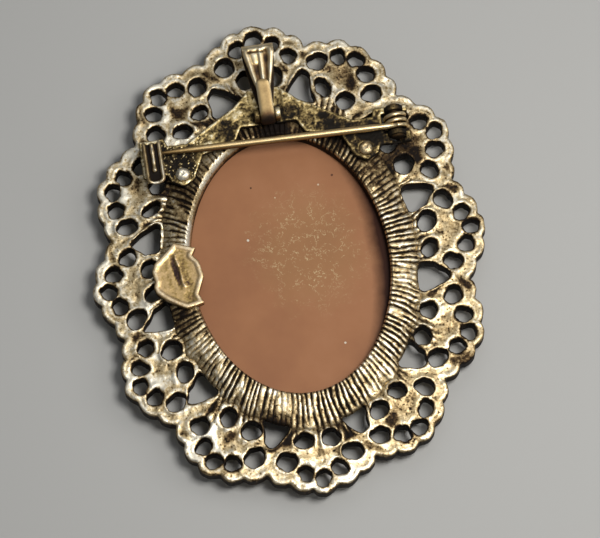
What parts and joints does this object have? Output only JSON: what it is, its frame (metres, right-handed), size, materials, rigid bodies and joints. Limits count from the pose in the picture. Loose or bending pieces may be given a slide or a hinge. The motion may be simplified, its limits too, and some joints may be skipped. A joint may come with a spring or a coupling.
{
  "type": "cameo brooch",
  "caption": "Oval cameo brooch with a pierced scalloped rim of lobes, a fluted collar, a hinged pin with a hook catch and a fold-over pendant bail on its back.",
  "frame": {"origin": "middle of the lobes' outline, on the surface that the bezel's front rests on", "axes": "+Z out of the back, +Y along the oval towards the bail, +X towards the pin's hinge"},
  "size_m": [0.0548, 0.0692, 0.0091],
  "materials": {
    "antique_gold": "antiqued, worn bright on its ridges and black in its hollows",
    "plate_gold": "antiqued, rough cast",
    "pin_brass": "drawn wire, dulled",
    "bail_gold": "bright, fluted towards its top",
    "cameo_ground": "moulded resin, satin, scuffed",
    "cameo_relief": "moulded resin, satin"
  },
  "bodies": {
    "brooch": {"frame": "antique_gold", "cameo_ground": "cameo_ground", "cameo_relief": "cameo_relief", "pin_plate": "plate_gold", "hinge_rivet": "pin_brass"},
    "pin": {"pin_stem": "pin_brass"},
    "pendant_bail": {"bail": "bail_gold"}
  },
  "joints": [
    {"name": "pin_swing", "type": "hinge", "parent": "brooch", "child": "pin", "pos_m": [0.0174, 0.0166, 0.00615], "axis": [0, 1, 0], "range_deg": [0, 80]},
    {"name": "bail_swing", "type": "hinge", "parent": "brooch", "child": "pendant_bail", "pos_m": [0, 0.02, 0.0071], "axis": [1, 0, 0], "range_deg": [0, 130]}
  ]
}
